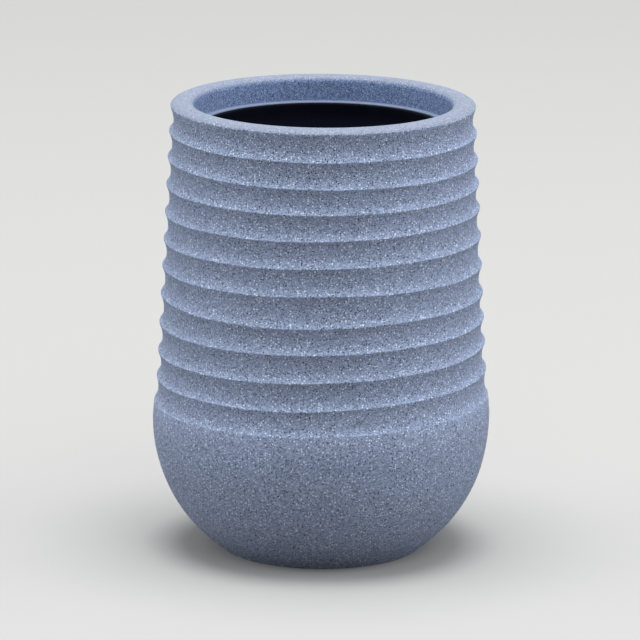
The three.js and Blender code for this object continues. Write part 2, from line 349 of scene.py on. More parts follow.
wander = {  # the ridges lean to and fro on the way down and crowd up once, as thrown rings do
    "leanGain": 5.25 * mm,  # rise on the right at the last ridge
    "leanSwing": 1.67 * mm,
    "leanTurn": 14.1,  # radians from the rim's edge to the last ridge
    "leanStart": 2.27,
    "leanFront": 1.14 * mm,
    "leanFrontTurn": 8.6,
    "leanFrontStart": 1.34,
    "crowdRise": 3.75 * mm,
    "crowdPlace": 0.36,  # share of the ribbed height, from the rim's edge down
    "crowdSpread": 0.177,
    "fade": 0.25,  # share of the ribbed height over which it dies out in the bowl
    "tremor": 0.8 * mm,  # small waves along each ridge
    "tremorLength": 75 * mm,
    "tremorTop": 30 * mm,  # they set in over this much below the rim's edge
    "tremorFoot": (110 * mm, 170 * mm),  # and die out between these heights
    "slipSpread": 0.05,  # share of the ribbed height
}
slips = [  # places where a ridge has sunk, or risen: degrees from the front, to the right
    {"ridge": 6, "drop": -1.3 * mm, "around": 4, "reach": 22},
    {"ridge": 7, "drop": 3.1 * mm, "around": -18, "reach": 38},
    {"ridge": 9.7, "drop": 2.1 * mm, "around": -16, "reach": 22},
]

rimEdgeHeight = shell["height"] - shell["rimEdgeDrop"]
collarRadius = shell["rimRadius"] - shell["rimWidth"]
ledgeHeight = shell["height"] - shell["collarDepth"]
ledgeRadius = collarRadius - shell["ledgeWidth"]
lastRidgeRadius = shell["bellyRadius"] - shell["bellySwell"]
lastRidgeHeight = shell["bellyHeight"] + shell["bellyRise"]
ribbedHeight = rimEdgeHeight - lastRidgeHeight
floorTop = shell["recess"] + shell["floorThickness"]


def smoothStep(value, low, high):
    share = min(max((value - low) / (high - low), 0), 1)
    return share * share * (3 - 2 * share)


def coveHollow(share, tip):  # depth at a share of a cove's height, from its lower ridge up
    deepest = shell["coveDeepest"]
    power = shell["coveLip"]
    if share > deepest:  # measured from the upper ridge down
        share, deepest, power = 1 - share, 1 - deepest, shell["coveBrow"]
    inward = (math.hypot(share, tip) - tip) / deepest
    return shell["coveDepth"] * (1 - (1 - inward) ** power)


def coves():  # from the last ridge up to the rim's edge, with more points near the ridges
    outline = []
    steps = shell["coveSteps"]
    lineFoot = lastRidgeRadius - shell["shoulderStep"]
    for step in range(1, shell["coveCount"] * steps):
        cove, share = divmod(step / steps, 1)
        share -= shell["ridgeCrowding"] * math.sin(fullTurn * share) / fullTurn
        tip = shell["rimRound"] if cove + share > shell["coveCount"] - 0.5 else shell["ridgeRound"]
        hollow = coveHollow(share, tip) * (1 if cove else shell["lowCove"])
        down = 1 - (cove + share) / shell["coveCount"]
        ridgeLine = shell["rimRadius"] + (lineFoot - shell["rimRadius"]) * down
        ridgeLine += shell["shoulderStep"] * max(0, 1 - cove - share)
        outline.append(Vector((ridgeLine - hollow, rimEdgeHeight - ribbedHeight * down)))
    return outline


def bowlCurve():
    corners = [
        (shell["footRadius"], 0),
        (shell["footRadius"], 0),
        (shell["bellyRadius"], shell["bowlCornerHeight"]),
        (shell["bellyRadius"], shell["bellyHeight"]),
    ]
    return bezier(corners, shell["bowlSteps"])


def bowlInside():  # one wall in from the bowl, from the belly down to the floor
    outer = bowlCurve()
    inside = []
    for here, below in zip(outer[:0:-1], outer[-2::-1]):
        along = (here - below).normalized()
        inner = here + Vector((-along.y, along.x)) * shell["wall"]
        if inner.y < floorTop:
            break
        inside.append(inner)
    return inside


def wanderRise(height, toRight, toFront):
    w = wander
    down = (rimEdgeHeight - height) / ribbedHeight
    fade = smoothStep(down, 0, 1 / shell["coveCount"]) * (1 - smoothStep(down, 1, 1 + w["fade"]))
    leanRight = w["leanSwing"] * math.cos(w["leanTurn"] * down - w["leanStart"]) - w["leanGain"] * down
    leanForward = w["leanFront"] * math.cos(w["leanFrontTurn"] * down - w["leanFrontStart"])
    crowd = w["crowdRise"] * math.exp(-(((down - w["crowdPlace"]) / w["crowdSpread"]) ** 2))
    slipped = 0
    for slip in slips:
        aside = math.remainder(math.atan2(toRight, toFront) - math.radians(slip["around"]), fullTurn)
        away = (down - slip["ridge"] / shell["coveCount"]) / w["slipSpread"]
        slipped += slip["drop"] * math.exp(-((aside / math.radians(slip["reach"])) ** 2) - away ** 2)
    return fade * (crowd - leanRight * toRight - leanForward * toFront - slipped)


def shellOutline():  # the skin from the drain out and up to the ledge, and then the inside back down
    s = shell
    footInner = s["footRadius"] - s["footRingWidth"]
    underside = softened([
        (s["drainRadius"], floorTop, 0),
        (s["drainRadius"], s["recess"], s["drainRound"]),
        (footInner - s["recessSlope"], s["recess"], s["recessRound"]),
        (footInner, 0, s["footInnerRound"]),
        (s["footRadius"], 0, s["footRound"]),
        (s["footRadius"] + s["footRingWidth"], s["footLean"], 0),
    ])[1:-1]
    bowl = [point for point in bowlCurve() if point.x > s["footRadius"] + s["footRound"]]
    rimRoll = bezier([
        (s["rimRadius"], rimEdgeHeight),
        (s["rimRadius"] - s["rimEdgeDrop"] / 2, s["height"]),
        (s["rimRadius"] - s["rimCrown"], s["height"]),
    ], s["rimRollSteps"])[:-1]  # the crown itself starts the inner fall
    rimInner = bezier([
        (s["rimRadius"] - s["rimCrown"], s["height"]),
        (collarRadius + s["rimInnerRound"], s["height"]),
        (collarRadius, s["height"]),
        (collarRadius, s["height"] - s["rimInnerRound"]),
    ], s["rimInnerSteps"])
    ledgeUnder = ledgeHeight - s["ledgeThickness"]
    ledge = softened([
        (collarRadius, s["height"] - s["rimInnerRound"], 0),
        (collarRadius, ledgeHeight, s["ledgeRootRound"]),
        (ledgeRadius, ledgeHeight, s["ledgeRound"]),
        (ledgeRadius, ledgeUnder, s["ledgeUnderRound"]),
        (collarRadius + s["wall"], ledgeUnder, 0),
    ])[1:-1]
    lastRidge = [Vector((lastRidgeRadius, lastRidgeHeight))]
    collar = [Vector((collarRadius, ledgeHeight + s["skinEnd"]))]
    skin = underside + bowl + lastRidge + coves() + rimRoll + rimInner + collar
    hollowRim = [
        Vector((collarRadius + s["wall"], ledgeUnder)),
        Vector((collarRadius + s["wall"], s["height"] - s["wall"])),
        Vector((s["rimRadius"] - s["coveDepth"] - s["wall"], s["height"] - s["wall"])),
        Vector((lastRidgeRadius - s["coveDepth"] - s["wall"], lastRidgeHeight)),
    ]
    bowlWall = bowlInside()
    floor = [Vector((bowlWall[-1].x, floorTop)), Vector((s["drainRadius"], floorTop))]
    inside = hollowRim + bowlWall + floor
    zones = [0] * len(skin) + [1] * len(ledge) + [2] * len(inside)  # in the order of the shell's paints
    return skin + ledge + inside, zones


def outerShell():
    w = wander
    outline, zones = shellOutline()
    piece = turnedPiece("outerShell", outline, shell["turnSteps"], zones=zones)
    for vertex in piece.data.vertices:
        radius = math.hypot(vertex.co.x, vertex.co.y)
        if radius < shell["rimRadius"] - shell["rimCrown"]:
            continue
        height = vertex.co.z
        rise = wanderRise(height, vertex.co.x / radius, -vertex.co.y / radius)
        ribbed = smoothStep(rimEdgeHeight - height, 0, w["tremorTop"]) * smoothStep(height, *w["tremorFoot"])
        rise += ribbed * w["tremor"] * noise.noise(vertex.co / w["tremorLength"])
        vertex.co.z += rise
    smoothPiece(piece, angle=60)
    return piece


# Stage: a plain pale floor, soft light from above, a weak even sky

stage = {
    "floorSize": 60,
    "floorDrop": 0.2 * mm,
    "floorHole": 106.5 * mm,  # hidden by the foot ring, and lights the base from below
    "floorSeen": (0.39, 0.39, 0.387),
    "floorBounce": (0.145, 0.130, 0.120),
    "mottle": (0.33, 0.33, 0.33),
    "mottleShare": 0.06,
    "mottleSize": 0.12,
    "skySeen": (0.80, 0.80, 0.79),
    "skyLight": 0.71,
    "lampReach": 9,
    "lampSize": 6.5,
}
lamps = {  # far away, so that the floor is evenly lit: degrees from the front and up
    "overhead": {"around": 0, "up": 90, "power": 960},
    "left": {"around": -90, "up": 17, "power": 260},
    "right": {"around": 90, "up": 17, "power": 315},
    "frontRight": {"around": 35, "up": 45, "power": 130},
    "front": {"around": 0, "up": 25, "power": 66},
}


def pathShare(paint):  # 1 where the camera looks, also by way of gloss or glass
    path = paint.node("ShaderNodeLightPath")
    outputs = path.socket.node.outputs
    seen = Wire(paint, outputs["Is Camera Ray"]) + Wire(paint, outputs["Is Glossy Ray"])
    return seen + Wire(paint, outputs["Is Transmission Ray"])


def paleFloor():
    bpy.ops.object.select_all(action="DESELECT")
    bpy.ops.mesh.primitive_plane_add(size=stage["floorSize"], location=(0, 0, -stage["floorDrop"]))
    floor = newPiece("paleFloor")
    paint = newPaint("paleFloorPaint")
    mottle = paint.grain(stage["mottleSize"], detail=4.0) * stage["mottleShare"]
    seen = paint.mix(mottle, rgb(*stage["floorSeen"]), rgb(*stage["mottle"]))
    colour = paint.mix(pathShare(paint), rgb(*stage["floorBounce"]), seen)
    matt = paint.node("ShaderNodeBsdfDiffuse", {}, {"Color": colour})
    clear = paint.node("ShaderNodeBsdfTransparent")
    under = paint.node("ShaderNodeNewGeometry", output="Backfacing")
    gone = under + (paint.fromAxis() < stage["floorHole"])
    both = paint.node("ShaderNodeMixShader", {}, {0: gone, 1: matt, 2: clear})
    paint.node("ShaderNodeOutputMaterial", {}, {"Surface": both})
    floor.data.materials.append(paint.owner)


def evenSky():
    world = bpy.data.worlds.new("evenSky")
    bpy.context.scene.world = world
    paint = Paint(world)
    light = paint.node("ShaderNodeBackground", {}, {"Color": rgb(1, 1, 1), "Strength": stage["skyLight"]})
    seen = paint.node("ShaderNodeBackground", {}, {"Color": rgb(*stage["skySeen"]), "Strength": 1.0})
    both = paint.node("ShaderNodeMixShader", {}, {0: pathShare(paint), 1: light, 2: seen})
    paint.node("ShaderNodeOutputWorld", {}, {"Surface": both})


def softLamps():
    middle = Vector((0, 0, shell["height"] / 2))
    for name, lamp in lamps.items():
        around, up = math.radians(lamp["around"]), math.radians(lamp["up"])
        toLamp = Vector((math.sin(around) * math.cos(up), -math.cos(around) * math.cos(up), math.sin(up)))
        aim = (-toLamp).to_track_quat("-Z", "Y").to_euler()
        bpy.ops.object.light_add(type="AREA", location=middle + toLamp * stage["lampReach"], rotation=aim)
        light = bpy.context.object
        light.name = name
        light.visible_camera = False
        light.data.shape = "DISK"
        light.data.size = stage["lampSize"]
        light.data.energy = lamp["power"]


# Finishes of the shell

stone = {
    "dark": rgb(0.068, 0.088, 0.138),
    "light": rgb(0.362, 0.450, 0.655),
    "pale": rgb(0.64, 0.735, 0.875),
    "black": rgb(0.008, 0.010, 0.017),
    "rimSheenShade": rgb(0.81, 0.77, 0.71),  # the rim's top painted greyer and darker: painted sheen, and painted shade that dims it under the overhead lamp
    "collarShade": rgb(0.60, 0.70, 0.86),  # and the collar inside the mouth painted darker and bluer: painted shade
    "grainSize": 0.92 * mm,
    "cloudSize": 60 * mm,
    "cloudShare": 0.08,
    "fleckCell": 2.6 * mm,
    "paleFleck": (0.33, 0.28),  # size within its cell, and share of the cells that hold one
    "blackFleck": (0.36, 0.20),
    "blackCell": 0.93,  # the black ones lie closer by this factor
    "fleckCore": 0.75,  # share of a fleck that is solid
    "raggedScale": 900.0,  # of the noise that makes the chips ragged
    "raggedShift": 0.5 * mm,
    "rubbedSheen": (-1.5 * mm, 2.5 * mm),  # the grain dies down, and the rim's painted sheen and shade set in, over these heights at the rim's edge
    "sheenWearLoss": {"grain": 0.45, "pale": 0.55, "black": 0.75, "rough": 0.2},
    "collarFoot": 400 * mm,  # nothing lower down is collar
    "collarEdge": (2 * mm, 0.3 * mm),  # outwards from the collar's radius
    "collarLoss": 0.4,  # of the flecks
    "roughness": 0.86,
    "relief": 0.1 * mm,
    "reliefOf": {"tone": 0.5, "pale": 0.3, "crown": 0.3},  # each chip is a little crowned
    "specular": 0.4,
}
mouldings = {
    "trimmedLedge": {  # the plain compound, where the moulding was cut open
        "dark": rgb(0.125, 0.163, 0.26),
        "light": rgb(0.178, 0.228, 0.345),
        "grainSize": 1.5 * mm,
        "detail": 3.0,
        "rough": (0.55, 0.7),
        "relief": 0.08 * mm,
    },
    "mouldedInside": {  # the hidden inner face, smooth and without flecks
        "dark": rgb(0.10, 0.115, 0.155),
        "light": rgb(0.14, 0.16, 0.21),
        "grainSize": 14 * mm,
        "detail": 2.0,
        "rough": (0.5, 0.68),
        "relief": 0.5 * mm,
    },
}


def chips(paint, where, cell):  # cells like chips of granite: a tone for each, and the way to its middle
    made = paint.node("ShaderNodeTexVoronoi", {}, {"Vector": where, "Scale": 1 / cell})
    outputs = made.socket.node.outputs
    tone = paint.node("ShaderNodeSeparateColor", {}, {"Color": Wire(paint, outputs["Color"])})
    return tone, Wire(paint, outputs["Distance"])


def flecks(paint, where, cell, size, share):  # a mask of scattered chips, one in some of the cells
    tone, middle = chips(paint, where, cell)
    return (tone < share) * paint.ramp(middle, size, size * stone["fleckCore"])


def stoneFleck():
    s, loss, high = stone, stone["sheenWearLoss"], stone["reliefOf"]
    paint = newPaint("stoneFleck")
    raggedNoise = {"Vector": paint.place(), "Scale": s["raggedScale"]}
    ragged = paint.node("ShaderNodeTexNoise", {}, raggedNoise, "Color")
    shift = paint.node("ShaderNodeVectorMath", {"operation": "SCALE"}, {0: ragged, "Scale": s["raggedShift"]})
    where = paint.node("ShaderNodeVectorMath", {"operation": "ADD"}, {0: paint.place(), 1: shift})
    height = paint.fromFloor()
    collarEdge = [collarRadius + away for away in s["collarEdge"]]
    collar = (height > s["collarFoot"]) * paint.ramp(paint.fromAxis(), *collarEdge)
    rubbedSheen = paint.ramp(height - rimEdgeHeight, *s["rubbedSheen"])
    tone, middle = chips(paint, where, s["grainSize"])
    tone = 0.5 + (tone - 0.5) * (1 - rubbedSheen * loss["grain"])
    cloud = paint.grain(s["cloudSize"], detail=3.0)
    fleckLeft = 1 - collar * s["collarLoss"]
    pale = flecks(paint, where, s["fleckCell"], *s["paleFleck"])
    pale = pale * (1 - rubbedSheen * loss["pale"]) * fleckLeft
    black = flecks(paint, where, s["fleckCell"] * s["blackCell"], *s["blackFleck"])
    black = black * (1 - rubbedSheen * loss["black"]) * fleckLeft
    colour = paint.mix(tone * (1 - s["cloudShare"]) + cloud * s["cloudShare"], s["dark"], s["light"])
    colour = paint.mix(pale, colour, s["pale"])
    colour = paint.mix(black, colour, s["black"])
    # painted sheen and painted shade on the rim's top, where the grain and flecks also fade and the roughness
    # drops
    colour = paint.mix(rubbedSheen, colour, s["rimSheenShade"], "MULTIPLY")
    # painted shade on the collar inside the mouth
    colour = paint.mix(collar, colour, s["collarShade"], "MULTIPLY")
    relief = tone * high["tone"] + pale * high["pale"] - middle * high["crown"]
    rough = s["roughness"] - rubbedSheen * loss["rough"]
    paint.finish(colour, rough, relief, s["relief"], **{"Specular IOR Level": s["specular"]})
    return paint


def moulding(name):
    m = mouldings[name]
    paint = newPaint(name)
    marks = paint.grain(m["grainSize"], m["detail"])
    colour = paint.mix(marks, m["dark"], m["light"])
    paint.finish(colour, paint.ramp(marks, *noiseSpan, *m["rough"]), marks, m["relief"])
    return paint


# Planting liner

linerLow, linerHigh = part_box("inner_liner")
linerSeat, linerTop, linerRimRadius = linerLow.z, linerHigh.z, linerHigh.x
liner = {
    "wall": 2.5 * mm,
    "bead": 4 * mm,
    "beadHeight": 8 * mm,
    "beadRound": 1.2 * mm,
    "beadUnderRound": 0.8 * mm,
    "footRadius": 86.8 * mm,
    "footWidth": 10 * mm,
    "footHeight": 5 * mm,
    "footRound": 1.5 * mm,
    "floor": 3 * mm,
    "underRound": 1 * mm,
    "cornerRound": 5 * mm,
    "hoopHeights": (120 * mm, 210 * mm, 300 * mm),  # shallow stiffening rings in the wall
    "hoopRise": 0.6 * mm,
    "hoopWidth": 9 * mm,
    "hoopFlank": 0.3,  # share of the width
    "hoopShares": (0.5, 0.35, 0.15, -0.15, -0.35, -0.5),  # where its points lie, from its middle up
    "drainCount": 6,
    "drainRadius": 5 * mm,
    "drainCircle": 44 * mm,
    "drainTurn": 15,  # degrees, so that the drains lie between the grid's holes
    "turnSteps": 120,
}
lug = {
    "thickness": 6 * mm,
    "height": 15 * mm,
    "reach": 6 * mm,  # past the pin's middle
    "round": 2 * mm,
    "roundSteps": 4,
    "boreGap": 0.3 * mm,
    "pinStand": 1.5 * mm,  # the pin stands out of its lug by this much
}

bailLow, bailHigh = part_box("right_bail")
wireRadius = 2.5 * mm
pivotOut = (bailLow.x + bailHigh.x) / 2
pivotHeight = bailHigh.z - wireRadius
barHeight = bailLow.z + wireRadius
pinOut = bailHigh.y
lugInner = pinOut - lug["pinStand"] - lug["thickness"]

linerNeck = linerRimRadius - liner["bead"]
linerTaper = (linerNeck - liner["footRadius"]) / (linerTop - linerSeat)
linerFloorTop = linerSeat + liner["footHeight"] + liner["floor"]


def linerInsideAt(height):
    return liner["footRadius"] + linerTaper * (height - linerSeat) - liner["wall"]


def hoopPoints(height):  # a shallow ring that stands in from the wall, taken from its top down
    points = []
    for share in liner["hoopShares"]:
        rise = liner["hoopRise"] * smoothStep(0.5 - abs(share), 0, liner["hoopFlank"])
        at = height + share * liner["hoopWidth"]
        points.append((linerInsideAt(at) - rise, at, 0))
    return points


def linerLugs():  # the ears that hold the bails' pins: one is made, and mirrored both ways
    rootRadius = linerInsideAt(pivotHeight) + liner["wall"] / 2
    nose = pivotOut - lug["reach"]
    middle = Vector(((nose + rootRadius) / 2, lugInner + lug["thickness"] / 2, pivotHeight))
    bpy.ops.object.select_all(action="DESELECT")
    bpy.ops.mesh.primitive_cube_add(size=1, location=middle)
    bpy.context.object.scale = (rootRadius - nose, lug["thickness"], lug["height"])
    ears = newPiece("linerLugs")
    for vertex in ears.data.vertices:
        if vertex.co.x > middle.x:  # the root follows the round wall
            vertex.co.x = math.sqrt(rootRadius ** 2 - vertex.co.y ** 2)
    bpy.ops.object.mode_set(mode="EDIT")
    bpy.ops.mesh.select_all(action="DESELECT")
    bpy.ops.object.mode_set(mode="OBJECT")
    for edge in ears.data.edges:  # the free end's edges
        a, b = (ears.data.vertices[corner].co for corner in edge.vertices)
        edge.select = max(a.x, b.x) < middle.x
    bpy.ops.object.mode_set(mode="EDIT")
    bpy.ops.mesh.bevel(offset=lug["round"], segments=lug["roundSteps"], affect="EDGES")
    bpy.ops.object.mode_set(mode="OBJECT")
    applyModifier(ears, "MIRROR", use_axis=(True, True, False))
    return ears


def plantingLiner():
    n = liner
    beadLow = linerTop - n["beadHeight"]
    footInner = n["footRadius"] - n["footWidth"]
    under = linerSeat + n["footHeight"]
    corners = [
        (0, under, 0),
        (footInner, under, n["underRound"]),
        (footInner, linerSeat, n["underRound"]),
        (n["footRadius"], linerSeat, n["footRound"]),
        (linerInsideAt(beadLow) + n["wall"], beadLow, n["beadUnderRound"]),
        (linerRimRadius, beadLow, n["beadUnderRound"]),
        (linerRimRadius, linerTop, n["beadRound"]),
        (linerInsideAt(linerTop), linerTop, n["beadRound"]),
    ]
    for height in reversed(n["hoopHeights"]):
        corners += hoopPoints(height)
    corners.append((linerInsideAt(linerFloorTop), linerFloorTop, n["cornerRound"]))
    corners.append((0, linerFloorTop, 0))
    piece = turnedPiece("plantingLiner", softened(corners), n["turnSteps"])
    joinInto(piece, [linerLugs()], "UNION")
    cutters = []
    bore = wireRadius + lug["boreGap"]
    for x in (-pivotOut, pivotOut):
        cutters.append(rod("bore", bore, (x, -pinOut, pivotHeight), (x, pinOut, pivotHeight)))
    for drain in range(n["drainCount"]):
        angle = math.radians(n["drainTurn"]) + fullTurn * drain / n["drainCount"]
        x, y = n["drainCircle"] * math.cos(angle), n["drainCircle"] * math.sin(angle)
        drainTop = linerFloorTop + bench["cutterSpare"]
        cutters.append(rod("drain", n["drainRadius"], (x, y, linerSeat), (x, y, drainTop)))
    joinInto(piece, cutters, "DIFFERENCE")
    finishCuts(piece, angle=35)
    return piece


linerBlack = {
    # the inside is painted: near-black right under the ledge as painted shadow, and a navy lower down as
    # painted bluish sky light
    "deep": rgb(0.0048, 0.0062, 0.0150),
    "paintedLedgeShadow": rgb(0.0011, 0.0014, 0.0040),
    "shade": (26 * mm, 6 * mm),  # below the top, over which the painted shadow of the ledge turns into the lighter colour below
    "bloom": rgb(0.0044, 0.0052, 0.0115),
    "bloomShare": 0.3,
    "bloomSize": 22 * mm,
    "bloomSpan": (0.35, 0.75),
    "outside": rgb(0.0045, 0.0050, 0.0078),  # still as it left the mould
    "outsideShare": 0.8,
    "outsideCoat": 0.3,
    "coatRoughness": 0.38,
    "drawMarks": (700, 700, 12),  # fine across the mould's draw and long along it
    "drawSpan": (0.25, 0.75),
    "drawShare": 0.3,  # of the relief
    "fineSize": 0.7 * mm,
    "rough": (0.5, 0.68),
    "relief": 0.05 * mm,
    "specular": 0.03,
}


def blackLiner():
    b = linerBlack
    paint = newPaint("blackLiner")
    height = paint.fromFloor()
    draw = paint.grain(1.0, detail=3.0, where=paint.stretched(b["drawMarks"]))
    fine = paint.grain(b["fineSize"])
    wallMiddle = (height - linerSeat) * linerTaper + (liner["footRadius"] - liner["wall"] / 2)
    inside = (paint.fromAxis() < wallMiddle) * (height > linerFloorTop - mm)
    outside = (1 - inside) * (height < linerTop - liner["beadHeight"])
    shade = paint.ramp(height, *[linerTop - below for below in b["shade"]])
    bloom = paint.ramp(paint.grain(b["bloomSize"], detail=3.0), *b["bloomSpan"]) * b["bloomShare"]
    # painted shadow of the ledge near the top, over the painted sky light lower down
    colour = paint.mix(shade, b["deep"], b["paintedLedgeShadow"])
    colour = paint.mix(bloom, colour, b["bloom"])
    colour = paint.mix(outside * b["outsideShare"], colour, b["outside"])
    rough = paint.ramp(draw, *b["drawSpan"], *b["rough"])
    gloss = {
        "Specular IOR Level": b["specular"],
        "Coat Weight": outside * b["outsideCoat"],
        "Coat Roughness": b["coatRoughness"],
    }
    relief = fine * (1 - b["drawShare"]) + draw * b["drawShare"]
    paint.finish(colour, rough, relief, b["relief"], **gloss)
    return paint


# Bail handles and their grips

bail = {
    "legOut": 48 * mm,
    "topBend": 2.9 * mm,
    "barBend": 9 * mm,
    "endRound": 0.7 * mm,
    "endSteps": 3,
    "sides": 20,
    "bendSteps": 8,
}
gripLow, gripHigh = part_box("right_grip")
grip = {
    "radius": (gripHigh.z - gripLow.z) / 2,
    "length": gripHigh.y - gripLow.y,
    "boreGap": 0.3 * mm,
    "boreRound": 0.5 * mm,
    "endRound": 2.4 * mm,
    "endSteps": 6,
    "grooves": 4,  # shallow finger grooves
    "grooveDepth": 0.9 * mm,
    "grooveSteps": 48,
    "turnSteps": 40,
}


def pull(*way):
    bpy.ops.mesh.extrude_region_move(TRANSFORM_OT_translate={"value": way})


def bend(centre, degrees):  # about x by the right hand, and spin turns the other way
    turn = math.radians(-degrees)
    bpy.ops.mesh.spin(steps=bail["bendSteps"], angle=turn, center=centre, axis=(1, 0, 0))


def bailWire():  # the left one: a length of wire from pin to pin
    x, leg, small, large = -pivotOut, bail["legOut"], bail["topBend"], bail["barBend"]
    legTop, legLow = pivotHeight - small, barHeight + large
    bpy.ops.object.select_all(action="DESELECT")
    bpy.ops.mesh.primitive_circle_add(vertices=bail["sides"], radius=wireRadius,
                                      location=(x, pinOut, pivotHeight), rotation=(math.pi / 2, 0, 0))
    piece = newPiece("leftBail")
    bpy.ops.object.mode_set(mode="EDIT")
    bpy.ops.mesh.select_all(action="SELECT")
    pull(0, leg + small - pinOut, 0)
    bend((x, leg + small, legTop), 90)
    pull(0, 0, legLow - legTop)
    bend((x, leg - large, legLow), -90)
    pull(0, 2 * (large - leg), 0)
    bend((x, large - leg, legLow), -90)
    pull(0, 0, legTop - legLow)
    bend((x, -leg - small, legTop), 90)
    pull(0, leg + small - pinOut, 0)
    closeMesh()
    bpy.ops.mesh.fill_holes(sides=0)
    bpy.ops.mesh.select_all(action="SELECT")
    bpy.ops.mesh.normals_make_consistent(inside=False)
    bpy.ops.mesh.select_all(action="DESELECT")
    bpy.ops.object.mode_set(mode="OBJECT")
    for edge in piece.data.edges:  # the two cut ends
        a, b = (piece.data.vertices[corner].co for corner in edge.vertices)
        edge.select = min(abs(a.y), abs(b.y)) > pinOut - bench["sliver"]
    bpy.ops.object.mode_set(mode="EDIT")
    bpy.ops.mesh.bevel(offset=bail["endRound"], segments=bail["endSteps"], affect="EDGES")
    bpy.ops.object.mode_set(mode="OBJECT")
    smoothPiece(piece, angle=40)
    return piece


def gripSleeve():  # the left one
    g = grip
    half, bore = g["length"] / 2, wireRadius + g["boreGap"]
    straight = half - g["endRound"]
    shoulder = g["radius"] - g["endRound"]
    outline = bezier([(shoulder, -half), (g["radius"], -half), (g["radius"], -straight)], g["endSteps"])
    for step in range(1, g["grooveSteps"]):
        share = step / g["grooveSteps"]
        waist = g["grooveDepth"] * (1 - math.cos(fullTurn * g["grooves"] * share)) / 2
        outline.append(Vector((g["radius"] - waist, straight * (2 * share - 1))))
    outline += bezier([(g["radius"], straight), (g["radius"], half), (shoulder, half)], g["endSteps"])
    outline += softened([
        (g["radius"], half, 0),
        (bore, half, g["boreRound"]),
        (bore, -half, g["boreRound"]),
        (g["radius"], -half, 0),
    ])[1:-1]
    piece = turnedPiece("leftGrip", outline, g["turnSteps"], (-pivotOut, 0, barHeight), (0, 1, 0))
    smoothPiece(piece, angle=50)
    return piece


galvanised = {
    "dark": rgb(0.42, 0.43, 0.44),
    "light": rgb(0.60, 0.61, 0.62),
    "dull": rgb(0.36, 0.36, 0.36),
    "spangleSize": 2.2 * mm,
    "spangleRough": 0.06,
    "spangleRise": 0.2,
    "dullSize": 6 * mm,
    "dullSpan": (0.5, 0.75),
    "roughSpan": (0.35, 0.7),
    "rough": (0.28, 0.5),
    "relief": 0.03 * mm,
}
gripBlack = {
    "dark": rgb(0.010, 0.010, 0.012),
    "light": rgb(0.022, 0.022, 0.025),
    "rubSize": 9 * mm,
    "fineSize": 0.45 * mm,
    "rough": (0.42, 0.62),
    "relief": 0.06 * mm,
}


def galvanisedWire():
    g = galvanised
    paint = newPaint("galvanisedWire")
    tone = chips(paint, paint.place(), g["spangleSize"])[0]
    dull = paint.grain(g["dullSize"], detail=3.0)
    colour = paint.mix(tone, g["dark"], g["light"])
    colour = paint.mix(paint.ramp(dull, *g["dullSpan"]), colour, g["dull"])
    rough = paint.ramp(dull, *g["roughSpan"], *g["rough"]) + tone * g["spangleRough"]
    paint.finish(colour, rough, dull + tone * g["spangleRise"], g["relief"], Metallic=1.0)
    return paint


def gripPlastic():
    g = gripBlack
    paint = newPaint("gripPlastic")
    rub = paint.grain(g["rubSize"], detail=3.0)
    colour = paint.mix(rub, g["dark"], g["light"])
    paint.finish(colour, paint.ramp(rub, *noiseSpan, *g["rough"]), paint.grain(g["fineSize"]), g["relief"])
    return paint


# Drainage grid

gridLow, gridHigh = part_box("drainage_grid")
grid = {
    "radius": gridHigh.x,
    "thickness": 3 * mm,
    "knobHeight": 17 * mm,  # post and cap
    "knobCapHeight": 5 * mm,
    "knobPostRadius": 5 * mm,
    "knobCapRadius": 11 * mm,
    "holePitch": 22 * mm,
    "holeRadius": 5 * mm,
    "rings": 3,
    "holesPerRing": 6,  # times the ring's number, counted from the middle
    "legCount": 3,
    "legRadius": 4.5 * mm,
    "legCircle": 33 * mm,
    "edgeRound": 0.4 * mm,
    "underRound": 0.6 * mm,
    "topRound": 0.9 * mm,
    "postRound": 2 * mm,
    "neckRound": 1 * mm,
    "capUnderRound": 0.8 * mm,
    "capRound": 2.2 * mm,
    "roundSteps": 5,
    "turnSteps": 96,
}


def drainageGrid():
    d = grid
    top = gridHigh.z - d["knobHeight"]
    under = top - d["thickness"]
    capLow = gridHigh.z - d["knobCapHeight"]
    piece = turnedPiece("drainageGrid", softened([
        (0, under, 0),
        (d["radius"], under, d["underRound"]),
        (d["radius"], top, d["topRound"]),
        (d["knobPostRadius"], top, d["postRound"]),
        (d["knobPostRadius"], capLow, d["neckRound"]),
        (d["knobCapRadius"], capLow, d["capUnderRound"]),
        (d["knobCapRadius"], gridHigh.z, d["capRound"]),
        (0, gridHigh.z, 0),
    ], d["roundSteps"]), d["turnSteps"])
    legs, holes = [], []
    for leg in range(d["legCount"]):
        angle = fullTurn * leg / d["legCount"]
        x, y = d["legCircle"] * math.cos(angle), d["legCircle"] * math.sin(angle)
        legs.append(rod("leg", d["legRadius"], (x, y, gridLow.z), (x, y, under + d["thickness"] / 2)))
    holeLow, holeHigh = under - bench["cutterSpare"], top + bench["cutterSpare"]
    for ring in range(1, d["rings"] + 1):
        radius, count = ring * d["holePitch"], ring * d["holesPerRing"]
        for hole in range(count):
            angle = fullTurn * hole / count
            x, y = radius * math.cos(angle), radius * math.sin(angle)
            holes.append(rod("hole", d["holeRadius"], (x, y, holeLow), (x, y, holeHigh)))
    joinInto(piece, legs, "UNION")
    joinInto(piece, holes, "DIFFERENCE")
    softEdges(piece, d["edgeRound"])
    finishCuts(piece, angle=35)
    return piece


gridGrey = {
    "dark": rgb(0.016, 0.017, 0.019),
    "light": rgb(0.028, 0.029, 0.032),
    "silt": rgb(0.06, 0.055, 0.045),  # a little dried soil
    "siltShare": 0.35,
    "siltSize": 7 * mm,
    "siltSpan": (0.55, 0.8),
    "siltRough": 0.2,
    "flowSize": 18 * mm,
    "fineSize": 0.6 * mm,
    "rough": (0.45, 0.6),
    "relief": 0.06 * mm,
}


